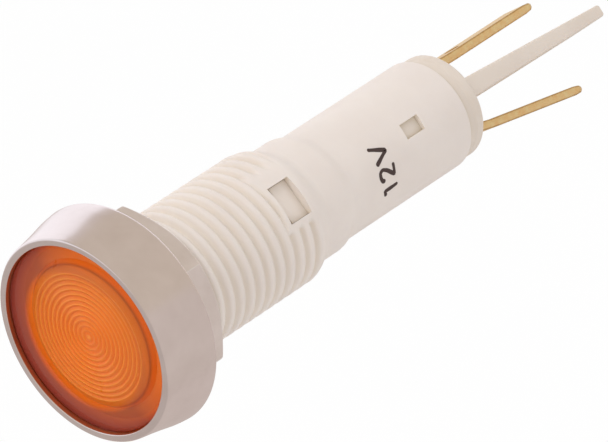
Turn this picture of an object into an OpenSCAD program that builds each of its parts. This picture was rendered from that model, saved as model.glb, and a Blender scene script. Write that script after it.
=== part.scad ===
// Panel pilot light: a snap-assembled indicator lamp with a metal bezel, a
// threaded nylon housing, a mounting nut and two flat terminals.
// The lamp's axis is Y. The lens faces -Y, the terminals point to +Y, and the
// origin is the centre of the bezel's rear face, where it seats on the panel.

/* [Bezel] */
// Radius of the bezel's rim at its rear, its widest place, mm
bezel_r = 10.15; // [8:0.05:14]
// How much narrower the bezel is at its front edge, mm
bezel_taper = 0.85; // [0.2:0.05:2]
// Length of the bezel from the panel seat to the front lip, mm
bezel_length = 5.3; // [4:0.1:10]
// Width of the rolled lip that holds the lens, mm
lip_width = 0.66; // [0.4:0.02:1.5]
// Thickness of the rolled lip, mm
lip_thickness = 0.5; // [0.3:0.05:1]
// Radius of the rounding at the front edge, mm
lip_round = 0.16; // [0.1:0.02:0.4]
// Depth at which the lens flange reaches under the lip, mm
lip_hold = 0.3; // [0.2:0.05:0.6]
// Thickness of the bezel's rear wall, mm
bezel_wall = 1.0; // [0.6:0.1:2]

/* [Lens] */
// Width of the bevel round the lens face, mm
lens_bevel = 1.44; // [0.5:0.02:3]
// Thickness of the lens flange under the lip, mm
lens_flange = 1.2; // [0.8:0.1:2]
// Height of the lens face above its flange, mm
lens_rise = 0.34; // [0.1:0.02:0.45]
// Number of ring prisms moulded in the back of the lens
ring_count = 13; // [4:1:20]
// Width of the plain zone outside the ring prisms, mm
ring_margin = 2.54; // [1:0.02:4]
// Depth of a ring prism, mm
ring_depth = 0.3; // [0.1:0.05:0.5]
// Thickness of the seal between the lens and the housing, mm
seal_thickness = 0.5; // [0.3:0.1:1]
// Width of the seal, mm
seal_width = 0.8; // [0.5:0.1:1.5]

/* [Housing] */
// Outside diameter of the thread, mm
thread_d = 12.6; // [10:0.1:20]
// Distance from one turn of the thread to the next, mm
thread_pitch = 1.27; // [0.8:0.01:2]
// Depth of the thread's grooves, mm
thread_depth = 0.52; // [0.3:0.02:0.8]
// Length of full thread behind the panel seat, mm
thread_length = 17.6; // [10:0.1:30]
// Length over which the thread runs out to the collar, mm
runout_length = 2.3; // [1:0.1:4]
// How much narrower the collar behind the thread is, in radius, mm
collar_drop = 0.8; // [0.6:0.05:1.2]
// Length of the collar behind the thread, mm
collar_length = 2.35; // [1:0.05:5]
// Length of the taper from the collar to the tube, mm
taper_length = 1.45; // [0.5:0.05:4]
// Outside radius of the rear tube, mm
tube_r = 5.14; // [4:0.02:8]
// Distance from the panel seat to the end of the tube, mm
tube_end = 38.7; // [25:0.1:60]
// Radius of the rounding at the tube's rear edge, mm
tube_round = 0.4; // [0.1:0.05:0.6]
// Thickness of the rear tube's wall, mm
tube_wall = 0.84; // [0.6:0.02:2]

/* [Windows] */
// Distance from the panel seat to the front edge of the carrier window, mm
window_front = 14.8; // [8:0.1:25]
// Length of the carrier window along the axis, mm
window_length = 2.65; // [1:0.1:4]
// Width of the carrier window, mm
window_width = 3.7; // [1:0.1:5]
// How far the carrier's tooth stays below the thread's crests, mm
carrier_tooth_drop = 0.75; // [0.2:0.05:1.5]
// Turn of the carrier window about the axis, degrees
window_turn = -3; // [-10:1:10]
// Half the angle of the smooth pad in the thread round the window, degrees
pad_angle = 28; // [20:1:40]
// Turn of the pad about the axis, degrees
pad_turn = -9; // [-20:1:10]
// Distance from the panel seat to the front edge of the cap window, mm
latch_front = 31.3; // [20:0.1:50]
// Length of the cap window along the axis, mm
latch_length = 2.3; // [1:0.05:4]
// Width of the cap window, mm
latch_width = 1.45; // [0.8:0.05:4]
// How far the cap's tooth stays below the tube's surface, mm
cap_tooth_drop = 0.39; // [0.1:0.01:0.8]
// Gap round a snap tooth in its window, mm
tooth_gap = 0.1; // [0.05:0.01:0.3]
// Turn of the cap window about the axis, degrees
latch_turn = 2; // [-10:1:10]

/* [Nut] */
// Width of the nut across its flats, mm
nut_flats = 15; // [14:0.5:24]
// Thickness of the nut, mm
nut_thickness = 3.45; // [2:0.05:8]
// Depth of the corner bevel at the nut's rear, mm
nut_bevel = 0.85; // [0.2:0.05:1.5]

/* [Lamp] */
// Diameter of the lamp's epoxy body, mm
led_d = 5; // [3:1:5]
// Length of the lamp's epoxy body, mm
led_length = 8.6; // [5:0.1:10]
// Distance from the panel seat to the back of the lamp, mm
led_back = 7.0; // [5:0.1:12]
// Distance between the lamp's two leads, mm
lead_pitch = 2.54; // [2:0.01:3]
// Diameter of a lead, mm
lead_d = 0.5; // [0.3:0.05:0.8]
// Length of the resistor's body, mm
resistor_length = 6.3; // [3:0.1:9]
// Diameter of the resistor's body, mm
resistor_d = 2.3; // [1.5:0.1:3]
// Distance from the back of the lamp to the front of the resistor, mm
resistor_gap = 6.6; // [4:0.1:12]
// Length of the solder splice between lamp and resistor, mm
splice_length = 2; // [1:0.1:3]
// Length over which a lead steps out to its terminal, mm
lead_step = 4; // [2:0.1:6]
// Wall thickness of the sleeves on the leads, mm
sleeve_wall = 0.25; // [0.1:0.05:0.5]
// Length of the lamp carrier, mm
carrier_length = 18; // [12:0.5:24]

/* [Rear cap and terminals] */
// Outside radius of the cap's flange, mm
cap_r = 4.9; // [3.5:0.05:7]
// Thickness of the cap's flange behind the tube, mm
cap_flange = 2.2; // [1:0.1:5]
// How much narrower the cap's flange is next to the tube, in radius, mm
cap_step = 0.1; // [0.05:0.05:0.3]
// Thickness of the cap's plug inside the tube, mm
plug_length = 1.3; // [0.8:0.1:4]
// Wall thickness of the cap's skirt, mm
skirt_wall = 0.52; // [0.4:0.02:1]
// Length of the cap's skirt inside the tube, mm
skirt_length = 8.2; // [4:0.1:12]
// Length of the barrier that stands between the terminals, mm
barrier_length = 19.1; // [5:0.1:30]
// Thickness of the barrier at the cap, mm
barrier_base = 1.85; // [1:0.05:3]
// Thickness of the barrier at its tip, mm
barrier_tip = 1.05; // [0.6:0.05:2]
// Height of the barrier, mm
barrier_height = 6.4; // [3:0.1:9]
// How much lower the barrier is at its tip, mm
barrier_drop = 1.0; // [0:0.1:3]
// Lean of the barrier towards the right-hand terminal, degrees
barrier_lean = 1.5; // [0:0.5:5]
// Width of a terminal's blade, mm
blade_width = 2.8; // [2.8:0.1:6.3]
// Thickness of a terminal's blade, mm
blade_thickness = 0.8; // [0.5:0.1:1]
// Distance of a terminal from the axis, mm
blade_offset = 3.15; // [2.5:0.05:4]
// Length of a terminal behind the cap, mm
blade_length = 14.6; // [6:0.1:20]
// Width of a terminal's solder tail, mm
tail_width = 1.2; // [0.8:0.1:2]
// Length of a terminal's solder tail, mm
tail_length = 6; // [3:0.1:9]
// Outward lean of the right-hand terminal, degrees
blade_lean = 9.5; // [0:0.5:15]
// Size of the bevels at a blade's tip, mm
blade_bevel = 0.75; // [0.3:0.05:1.2]
// Distance from a blade's tip to its hole, mm
blade_hole_back = 10.3; // [2:0.1:12]
// Diameter of the hole in a blade, mm
blade_hole = 1.4; // [0.8:0.1:2]

/* [Fits] */
// Gap between moulded pieces that snap together, mm
snap_gap = 0.08; // [0.02:0.02:0.2]
// Gap between the nut and the crests of the thread, mm
nut_gap = 0.05; // [0.01:0.01:0.1]
// Gap between the bezel's hole and the thread, mm
bezel_gap = 0.1; // [0.05:0.05:0.5]

/* [Hidden] */
$fn = 48;
thread_r = thread_d / 2;
groove_r = thread_r - thread_depth;
groove_count = floor(thread_length / thread_pitch + 0.2);
plain_grooves = floor(window_front / thread_pitch - 0.6);
collar_r = thread_r - collar_drop;
collar_start = thread_length + runout_length;
collar_end = collar_start + collar_length;
tube_start = collar_end + taper_length;
bore_r = tube_r - tube_wall;

bezel_front_r = bezel_r - bezel_taper;
lip_r = bezel_front_r - lip_width;
cavity_r = lip_r + lip_hold;
lip_back = -bezel_length + lip_thickness;

flange_r = cavity_r - snap_gap;
lens_back = lip_back + lens_flange;
flange_front = lens_back + seal_thickness;
lens_flat_r = lip_r - lens_bevel;
ring_zone_r = lip_r - ring_margin;

shade_rim_r = thread_r + (flange_r - thread_r) * 0.4;
shade_wall = 0.5;
shade_neck_r = led_d * 0.68;
shade_end = 0.4;

plug_r = bore_r - snap_gap;
led_r = led_d / 2;
led_flange_r = led_r * 1.16;
led_flange = 1.0;
led_seat = led_back - led_flange;
carrier_front = led_seat - led_flange * 4;
carrier_back = carrier_front + carrier_length;
carrier_bore_r = plug_r - skirt_wall - 0.3;
carrier_tooth = [window_front + tooth_gap, window_length - 2 * tooth_gap,
    window_width - 2 * tooth_gap, thread_r - carrier_tooth_drop];

cap_front = tube_end + snap_gap / 4;
cap_back = cap_front + cap_flange;
cap_disc_front = tube_end - plug_length;
skirt_bore_r = plug_r - skirt_wall;
skirt_front = tube_end - skirt_length;
cap_tooth = [latch_front + tooth_gap, latch_length - 2 * tooth_gap,
    latch_width - 2 * tooth_gap, tube_r - cap_tooth_drop];

solder_film = 0.04;
blade_inner_x = blade_offset - blade_thickness / 2;
tail_front = cap_disc_front - tail_length;
tail_wire_x = blade_inner_x - lead_d / 2 - solder_film;
lead_x = lead_pitch / 2;
wire_end = tail_front + 3.2 * lead_d;
wire_bend = [tail_front - lead_step * 1.8, tail_front - lead_step * 0.8];
splice_rise = lead_d + solder_film;
splice_front = led_back + resistor_gap * 0.36;
splice_back = splice_front + splice_length;
resistor_front = led_back + resistor_gap;
resistor_back = resistor_front + resistor_length;

// ---- shared forms ----

// A profile of [radius, y] points turned about the lamp's axis.
module turned(profile) {
    rotate([-90, 0, 0]) rotate_extrude() polygon(profile);
}

// A plain rod or disc along the axis, from y0 to y1.
module rod(r, y0, y1) {
    translate([0, y0, 0]) rotate([-90, 0, 0]) cylinder(r = r, h = y1 - y0);
}

// A tube along the axis, from y0 to y1.
module pipe(r_out, r_in, y0, y1) {
    turned([[r_in, y0], [r_out, y0], [r_out, y1], [r_in, y1]]);
}

// The same form on both sides of the lamp, above and below.
module above_and_below() {
    for (side = [0, 180]) rotate([0, side, 0]) children();
}

// A round corner: points of a quarter turn about [cr, cy], from a0 to a1.
function corner(cr, cy, radius, a0, a1, steps = 6) =
    [for (i = [0 : steps]) let (a = a0 + (a1 - a0) * i / steps)
        [cr + radius * cos(a), cy + radius * sin(a)]];

// A snap tooth on a tube: it ramps up from the front and ends in a square
// catch at the rear. spec is [front y, length, width, top radius].
module snap_tooth(spec, base_r) {
    top = spec[3];
    foot = base_r - skirt_wall * 0.75;
    catch_y = spec[0] + spec[1];
    translate([-spec[2] / 2, 0, 0]) rotate([90, 0, 90])
        linear_extrude(spec[2]) polygon([[spec[0], foot], [catch_y, foot],
            [catch_y, top], [catch_y - spec[1] * 0.8, top], [spec[0], base_r]]);
}

// The two slots and the end cut that free a tongue around a snap tooth.
module tongue_slots(width, y0, y1) {
    slot = 3 * tooth_gap;
    for (side = [-1, 1])
        translate([side * (width + slot) / 2, (y0 + y1) / 2, plug_r])
            cube([slot, y1 - y0, plug_r * 0.8], center = true);
}

// A round wire along Y from y0 to y1 that steps over by dx between the two
// values of bend. A ball slightly wider than the wire closes each bend.
module stepped_wire(y0, y1, dx, bend, d) {
    slope = atan2(dx, bend[1] - bend[0]);
    rod(d / 2, y0, bend[0]);
    translate([0, bend[0], 0]) rotate([0, 0, -slope])
        rod(d / 2, 0, norm([dx, bend[1] - bend[0]]));
    translate([dx, 0, 0]) rod(d / 2, bend[1], y1);
    for (place = [[0, bend[0], 0], [dx, bend[1], 0]])
        translate(place) sphere(d = d * 1.1, $fn = 24);
}

// ---- front ----

// The cone outside, the cavity for the lens and the rolled lip.
module bezel() {
    r0 = bezel_front_r - lip_round;
    y0 = -bezel_length + lip_round;
    color([0.74, 0.7, 0.66]) turned(concat(
        [[lip_r, lip_back], [lip_r, -bezel_length]],
        corner(r0, y0, lip_round, -90, -10),
        [[bezel_r - bezel_taper * 0.12, -bezel_length * 0.24],
         [bezel_r, -bezel_length * 0.05], [bezel_r - bezel_taper * 0.25, 0],
         [thread_r + bezel_gap, 0],
         [thread_r + bezel_gap, -bezel_wall], [cavity_r, -bezel_wall],
         [cavity_r, lip_back]]));
}

// The face stands through the lip; ring prisms are moulded in the back.
module lens() {
    face = lip_back - lens_rise;
    step = ring_zone_r / ring_count;
    color([0.9, 0.42, 0.08, 0.85]) difference() {
        turned([[0, face], [lens_flat_r, face], [lip_r - snap_gap, lip_back],
            [flange_r, lip_back], [flange_r, lens_back], [0, lens_back]]);
        turned(concat([[0, lens_back + 0.1]],
            [for (i = [0 : ring_count - 1]) each [
                [i * step, lens_back - (i == 0 ? 0 : ring_depth)],
                [(i + 1) * step, lens_back]]],
            [[ring_zone_r, lens_back + 0.1]]));
    }
}

module lens_seal() {
    color([0.16, 0.15, 0.15])
        pipe(flange_r, flange_r - seal_width, lens_back, flange_front);
}

// A white dish that throws the lamp's light onto the lens.
module reflector() {
    color([0.95, 0.95, 0.93]) turned([
        [shade_rim_r - shade_wall, flange_front], [shade_rim_r, flange_front],
        [shade_rim_r, flange_front + shade_wall],
        [shade_neck_r + shade_wall, shade_end], [shade_neck_r, shade_end]]);
}

// ---- housing and nut ----

// Section of thread groove number i. The grooves are drawn as rings, a pitch
// apart, with the nut running on the crests between them.
function groove(i) = let (y = thread_pitch * (i + 0.34)) [
    [thread_r, y - thread_pitch * 0.42], [groove_r, y - thread_pitch * 0.12],
    [groove_r, y + thread_pitch * 0.12], [thread_r, y + thread_pitch * 0.42]];

// The last grooves stop at a smooth pad round each carrier window.
module broken_grooves() {
    reach = thread_r * 1.2;
    y0 = thread_pitch * (plain_grooves - 0.2);
    difference() {
        for (i = [plain_grooves : groove_count - 1])
            turned(concat(groove(i), [[thread_r + thread_depth, thread_pitch * (i + 0.76)],
                [thread_r + thread_depth, thread_pitch * (i - 0.08)]]));
        above_and_below() rotate([0, pad_turn, 0]) translate([0, y0, 0])
            rotate([-90, 0, 0]) linear_extrude(thread_length) polygon([[0, 0],
                [-reach * sin(pad_angle), -reach * cos(pad_angle)], [0, -reach],
                [reach * sin(pad_angle), -reach * cos(pad_angle)]]);
    }
}

// Flange, threaded barrel, collar and rear tube, in one moulding.
module housing_body() {
    turned(concat(
        [[0, flange_front], [flange_r, flange_front],
         [flange_r, -bezel_wall], [thread_r, -bezel_wall]],
        [for (i = [0 : plain_grooves - 1]) each groove(i)],
        [[thread_r, thread_length], [collar_r, collar_start],
         [collar_r, collar_end], [tube_r, tube_start]],
        corner(tube_r - tube_round, tube_end - tube_round, tube_round, 0, 90),
        [[0, tube_end]]));
}

// The bore, opened at the front as a seat for the reflector.
module housing_bore() {
    mouth = shade_rim_r + snap_gap;
    turned([[0, flange_front - 0.1], [mouth, flange_front - 0.1],
        [mouth, flange_front + shade_wall + snap_gap],
        [bore_r, shade_end], [bore_r, tube_end + 0.1], [0, tube_end + 0.1]]);
}

// A square window through the wall, above and below.
module snap_window(y0, length, width, turn) {
    above_and_below() rotate([0, turn, 0])
        translate([-width / 2, y0, bore_r * 0.8]) cube([width, length, bore_r]);
}

module housing() {
    color([0.93, 0.91, 0.87]) difference() {
        housing_body();
        housing_bore();
        broken_grooves();
        snap_window(window_front, window_length, window_width, window_turn);
        snap_window(latch_front, latch_length, latch_width, latch_turn);
    }
}

// A hexagon, bevelled at its rear, bored to run on the thread.
module mounting_nut() {
    corner_r = nut_flats / 2 / cos(30);
    color([0.76, 0.73, 0.69]) difference() {
        intersection() {
            rotate([-90, 0, 0]) rotate([0, 0, 90])
                cylinder(r = corner_r, h = nut_thickness, $fn = 6);
            turned([[0, -0.1], [corner_r + 1, -0.1],
                [corner_r + 1, nut_thickness - nut_bevel * (corner_r + 1
                    - nut_flats / 2) / (corner_r - nut_flats / 2)],
                [nut_flats / 2, nut_thickness], [0, nut_thickness]]);
        }
        rod(thread_r + nut_gap, -0.2, nut_thickness + 0.2);
        for (face = [[0, 1], [nut_thickness, -1]])
            turned([[0, face[0] - face[1] * 0.1],
                [thread_r + nut_gap + 0.4, face[0] - face[1] * 0.1],
                [thread_r + nut_gap + 0.4, face[0]],
                [thread_r + nut_gap, face[0] + face[1] * 0.4],
                [0, face[0] + face[1] * 0.4]]);
    }
}

// ---- lamp and its wiring ----

// An inner tube that holds the lamp and snaps into the housing's windows.
module lamp_carrier() {
    socket_r = led_r + snap_gap;
    seat_r = led_flange_r + snap_gap;
    seat_back = led_back + led_flange * 0.6;
    color([0.9, 0.88, 0.83]) difference() {
        union() {
            turned([[socket_r, carrier_front], [plug_r, carrier_front],
                [plug_r, carrier_back], [carrier_bore_r, carrier_back],
                [carrier_bore_r, seat_back], [seat_r, seat_back],
                [seat_r, led_seat], [socket_r, led_seat]]);
            above_and_below() rotate([0, window_turn, 0])
                snap_tooth(carrier_tooth, plug_r);
        }
        above_and_below() rotate([0, window_turn, 0])
            tongue_slots(carrier_tooth[2], seat_back + led_flange, carrier_back + 1);
    }
}

// Flange, barrel and dome of the lamp.
module led_body() {
    dome = led_back - led_length + led_r;
    color([0.98, 0.7, 0.3, 0.8]) union() {
        turned(concat(
            corner(0, dome, led_r, -90, 0, 10),
            [[led_r, led_seat], [led_flange_r, led_seat],
             [led_flange_r, led_back], [0, led_back]]));
    }
}

module led_anode_lead() {
    color([0.8, 0.8, 0.8])
        translate([lead_x, 0, 0]) rod(lead_d / 2, led_back, splice_back);
}

// A wire from y0 that steps out to the tail of the right-hand terminal.
module tail_wire(y0) {
    color([0.8, 0.8, 0.8]) translate([lead_x, 0, 0])
        stepped_wire(y0, wire_end, tail_wire_x - lead_x, wire_bend, lead_d);
}

module led_cathode_lead() {
    mirror([1, 0, 0]) tail_wire(led_back);
}

// A bead of solder that joins the lamp's lead to the resistor's.
module lead_splice() {
    color([0.75, 0.75, 0.77]) difference() {
        translate([lead_x, 0, splice_rise / 2])
            rod(lead_d * 1.3, splice_front, splice_back);
        for (z = [0, splice_rise]) translate([lead_x, 0, z])
            rod(lead_d / 2, splice_front - 1, splice_back + 1);
    }
}

// A cylinder with a wider round cap at each end, where the leads come out.
module resistor() {
    outer = resistor_d / 2;
    waist = outer * 0.87;
    edge = outer * 0.35;
    cap = resistor_length * 0.22;
    color([0.78, 0.7, 0.55]) translate([lead_x, 0, 0]) turned(concat(
        [[0, resistor_front]],
        corner(outer - edge, resistor_front + edge, edge, -90, 0, 4),
        [[outer, resistor_front + cap], [waist, resistor_front + cap * 1.2],
         [waist, resistor_back - cap * 1.2], [outer, resistor_back - cap]],
        corner(outer - edge, resistor_back - edge, edge, 0, 90, 4),
        [[0, resistor_back]]));
}

module resistor_front_lead() {
    color([0.8, 0.8, 0.8]) translate([lead_x, 0, splice_rise]) rotate([0, 90, 0])
        stepped_wire(splice_front, resistor_front, splice_rise,
            [splice_back + lead_d / 2, resistor_front - lead_d], lead_d);
}

module resistor_rear_lead() {
    tail_wire(resistor_back);
}

// Insulation on the straight part of a lead.
module lead_sleeve(x, y0, y1) {
    color([0.2, 0.2, 0.22]) translate([x, 0, 0])
        pipe(lead_d / 2 + sleeve_wall, lead_d / 2, y0, y1);
}

module anode_sleeve() {
    lead_sleeve(lead_x, resistor_back + lead_d, wire_bend[0] - lead_d);
}

module cathode_sleeve() {
    lead_sleeve(-lead_x, led_back + lead_d, wire_bend[0] - lead_d);
}

// ---- rear cap and terminals ----

// The barrier between the terminals: thinner towards its tip.
module barrier() {
    tip = cap_back + barrier_length;
    translate([0, cap_back, 0]) rotate([0, 0, -barrier_lean]) translate([0, -cap_back, 0])
        intersection() {
            translate([0, 0, -barrier_height]) linear_extrude(barrier_height * 2)
                polygon([[-barrier_base / 2, cap_back - barrier_base / 6],
                    [barrier_base / 2, cap_back - barrier_base / 6],
                    [barrier_tip / 2, tip], [-barrier_tip / 2, tip]]);
            translate([-barrier_base, 0, 0]) rotate([90, 0, 90])
                linear_extrude(barrier_base * 2)
                    polygon([[cap_back - 1, -barrier_height / 2],
                        [tip, (barrier_drop - barrier_height) / 2],
                        [tip, (barrier_height - barrier_drop) / 2],
                        [cap_back - 1, barrier_height / 2]]);
        }
}

// The slots that the terminals stand in.
module terminal_slots() {
    for (side = [-1, 1])
        translate([side * blade_offset, (cap_disc_front + cap_back) / 2, 0])
            cube([blade_thickness, cap_flange + plug_length * 2, blade_width], center = true);
}

// Flange, plug and skirt with two snap teeth, and the barrier, in one piece.
module rear_cap() {
    cap_edge = cap_flange * 0.16;
    color([0.91, 0.88, 0.83]) difference() {
        union() {
            turned([[0, cap_disc_front], [skirt_bore_r, cap_disc_front],
                [skirt_bore_r, skirt_front], [plug_r, skirt_front],
                [plug_r, cap_front], [cap_r - cap_step, cap_front],
                [cap_r - cap_step, cap_front + cap_flange * 0.42],
                [cap_r, cap_front + cap_flange * 0.5], [cap_r, cap_back - cap_edge],
                [cap_r - cap_edge, cap_back], [0, cap_back]]);
            above_and_below() rotate([0, latch_turn, 0])
                snap_tooth(cap_tooth, plug_r);
            barrier();
        }
        terminal_slots();
        above_and_below() rotate([0, latch_turn, 0])
            tongue_slots(latch_width + tooth_gap, skirt_front - 1, cap_disc_front - skirt_wall);
    }
}

// A blade along Y, seen from its flat side: bevelled corners at the tip and a
// hole for a wire.
module blade_outline(y0, y1) {
    w = blade_width / 2;
    difference() {
        polygon([[y0, -w], [y1 - blade_bevel, -w], [y1, -w + blade_bevel],
            [y1, w - blade_bevel], [y1 - blade_bevel, w], [y0, w]]);
        translate([y1 - blade_hole_back, 0]) circle(d = blade_hole, $fn = 24);
    }
}

// A sheet of the blade's thickness, from an outline of [y, z] points.
module blade_sheet() {
    translate([-blade_thickness / 2, 0, 0]) rotate([90, 0, 90])
        linear_extrude(blade_thickness) children();
}

// A flat terminal at side -1 or 1, bent outwards by bend degrees just behind
// the cap.
module terminal(side, bend) {
    shoulder = cap_disc_front + snap_gap;
    overlap = blade_thickness * sin(bend) / 2;
    bend_y = cap_back + 2 * overlap;
    color([0.84, 0.66, 0.36]) translate([side * blade_offset, 0, 0]) {
        blade_sheet() union() {
            translate([tail_front, -tail_width / 2])
                square([shoulder - tail_front + snap_gap, tail_width]);
            translate([shoulder, -blade_width / 2])
                square([bend_y - shoulder, blade_width]);
        }
        translate([0, bend_y, 0]) rotate([0, 0, -side * bend])
            blade_sheet() blade_outline(-overlap, cap_back + blade_length - bend_y);
    }
}

module terminal_left() {
    terminal(-1, 0);
}

module terminal_right() {
    terminal(1, blade_lean);
}

// A bead of solder round the wire, on the inner face of a terminal's tail.
module solder_bead(side) {
    y0 = tail_front + lead_d * 0.4;
    y1 = wire_end - lead_d * 0.2;
    bead_r = lead_d * 1.2;
    mirror([side > 0 ? 0 : 1, 0, 0]) color([0.75, 0.75, 0.77]) difference() {
        intersection() {
            translate([blade_inner_x, 0, 0]) rod(bead_r, y0, y1);
            translate([blade_inner_x - 2 * bead_r, y0 - 1, -2 * bead_r])
                cube([2 * bead_r, y1 - y0 + 2, 4 * bead_r]);
        }
        translate([tail_wire_x, 0, 0]) rod(lead_d / 2, y0 - 1, y1 + 1);
    }
}

module solder_left() {
    solder_bead(-1);
}

module solder_right() {
    solder_bead(1);
}

bezel();
lens();
lens_seal();
housing();
mounting_nut();
reflector();
lamp_carrier();
led_body();
led_anode_lead();
led_cathode_lead();
lead_splice();
resistor();
resistor_front_lead();
resistor_rear_lead();
anode_sleeve();
cathode_sleeve();
rear_cap();
terminal_left();
terminal_right();
solder_left();
solder_right();
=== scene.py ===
"""Panel pilot light: finished surfaces, materials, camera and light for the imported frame.

The lamp's axis is Y. The lens faces -Y, the terminals point to +Y, and the
origin is the centre of the bezel's rear face. Sizes in the classes are in
millimetres; meshes are made in metres.
"""
import logging
import math
from dataclasses import dataclass, field
from enum import Enum
from typing import Callable, Dict, List, Sequence, Tuple

import bpy
import numpy as np
from mathutils import Matrix, Vector


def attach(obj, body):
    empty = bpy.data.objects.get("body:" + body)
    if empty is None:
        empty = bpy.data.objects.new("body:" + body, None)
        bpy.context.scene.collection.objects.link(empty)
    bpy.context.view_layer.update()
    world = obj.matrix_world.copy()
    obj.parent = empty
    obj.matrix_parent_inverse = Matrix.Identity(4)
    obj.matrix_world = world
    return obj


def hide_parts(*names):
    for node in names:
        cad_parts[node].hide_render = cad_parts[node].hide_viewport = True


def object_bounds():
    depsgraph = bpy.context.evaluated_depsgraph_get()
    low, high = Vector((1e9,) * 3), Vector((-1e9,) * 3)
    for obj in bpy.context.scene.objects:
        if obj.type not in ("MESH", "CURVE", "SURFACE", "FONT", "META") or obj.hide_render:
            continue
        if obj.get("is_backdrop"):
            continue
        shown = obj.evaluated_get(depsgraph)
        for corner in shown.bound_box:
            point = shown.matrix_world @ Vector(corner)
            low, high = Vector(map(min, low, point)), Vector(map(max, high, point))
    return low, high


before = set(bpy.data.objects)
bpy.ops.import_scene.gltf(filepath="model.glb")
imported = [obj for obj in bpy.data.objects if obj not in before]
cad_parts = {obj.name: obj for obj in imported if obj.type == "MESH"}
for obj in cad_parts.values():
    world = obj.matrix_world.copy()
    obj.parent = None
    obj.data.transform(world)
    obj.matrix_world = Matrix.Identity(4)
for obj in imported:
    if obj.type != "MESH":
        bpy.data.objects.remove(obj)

LOG = logging.getLogger("pilot_light")
MM = 0.001
NEAR = 1e-6
CIRCLE = 2 * math.pi
# Radius at which an open profile ends; a pole closes it there.
AXIS_R = 0.02
# How many ring prisms the lens has, how far out they reach, and its edge.
RINGS, RINGS_R, LENS_R = 13, 6.1, 8.56
CAD_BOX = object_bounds()

Pair = Tuple[float, float]
Triple = Tuple[float, float, float]
# A colour as it is read from a screen, 0-255.
Screen = Tuple[int, int, int]
Array = np.ndarray
Socket = bpy.types.NodeSocket


class Body(Enum):
    """The two bodies that a piece can ride on."""

    LAMP = "lamp"
    NUT = "nut"


def link(name: str, data: bpy.types.ID) -> bpy.types.Object:
    """Makes an object of its data and puts it in the scene."""
    made = bpy.data.objects.new(name, data)
    bpy.context.scene.collection.objects.link(made)
    return made


# ---------------------------------------------------------------- surfaces


@dataclass
class Surface:
    """A closed mesh as whole arrays, in millimetres.

    Attributes:
        points: rows of x, y, z.
        faces: rows of four corner numbers; a triangle repeats its last one.
        slots: the material slot of each face.
    """

    points: Array
    faces: Array
    slots: Array

    def corners(self) -> List[Array]:
        """The four corner points of every face."""
        return [self.points[self.faces[:, k]] for k in range(4)]

    def outward(self) -> "Surface":
        """Turns the faces if the volume, the sum of a . (b x c) / 6, is negative.

        Returns:
            The same surface; its triangles stay triangles.
        """
        a, b, c, d = self.corners()
        if (a * np.cross(b, c) + a * np.cross(c, d)).sum() < 0:
            self.faces = self.faces[:, [1, 0, 3, 2]]
        return self

    @staticmethod
    def join(parts: Sequence["Surface"]) -> "Surface":
        """Several closed surfaces in one mesh.

        Args:
            parts: the surfaces, faces outwards.

        Returns:
            One surface; each part's corner numbers follow the last's.
        """
        starts = np.cumsum([0] + [len(p.points) for p in parts[:-1]])
        return Surface(np.concatenate([p.points for p in parts]),
                       np.concatenate([p.faces + s for p, s in zip(parts, starts)]),
                       np.concatenate([p.slots for p in parts]))

    def build(self, name: str, finishes: Sequence["Finish"], crease: float, slot: str,
              *nodes: str, body: Body = Body.LAMP) -> None:
        """Makes the finished piece, smooth except where faces meet sharply.

        Args:
            name: the piece's name.
            finishes: one for each material slot.
            crease: angle past which an edge is shaded sharp, degrees.
            slot: the record's material slot; not used.
            nodes: the CAD nodes that it replaces.
            body: the body that it rides.
        """
        counts = np.where(self.faces[:, 3] != self.faces[:, 2], 4, 3).astype(np.int32)
        loops = self.faces[np.arange(4) < counts[:, None]].astype(np.int32)
        mesh = bpy.data.meshes.new(name)
        mesh.vertices.add(len(self.points))
        mesh.vertices.foreach_set("co", (self.points * MM).astype(np.float32).ravel())
        mesh.loops.add(len(loops))
        mesh.loops.foreach_set("vertex_index", loops)
        mesh.polygons.add(len(counts))
        mesh.polygons.foreach_set("loop_start", (np.cumsum(counts) - counts).astype(np.int32))
        for finish in finishes:
            mesh.materials.append(finish.material())
        mesh.update(calc_edges=True)
        mesh.polygons.foreach_set("material_index", self.slots.astype(np.int32))
        mesh.shade_smooth()
        mesh.set_sharp_from_angle(angle=math.radians(crease))
        mesh.validate()
        piece = link(name, mesh)
        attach(piece, body.value)
        if nodes:
            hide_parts(*nodes)
        LOG.info("%s: %d faces on %s", name, len(mesh.polygons), body.value)


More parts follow.
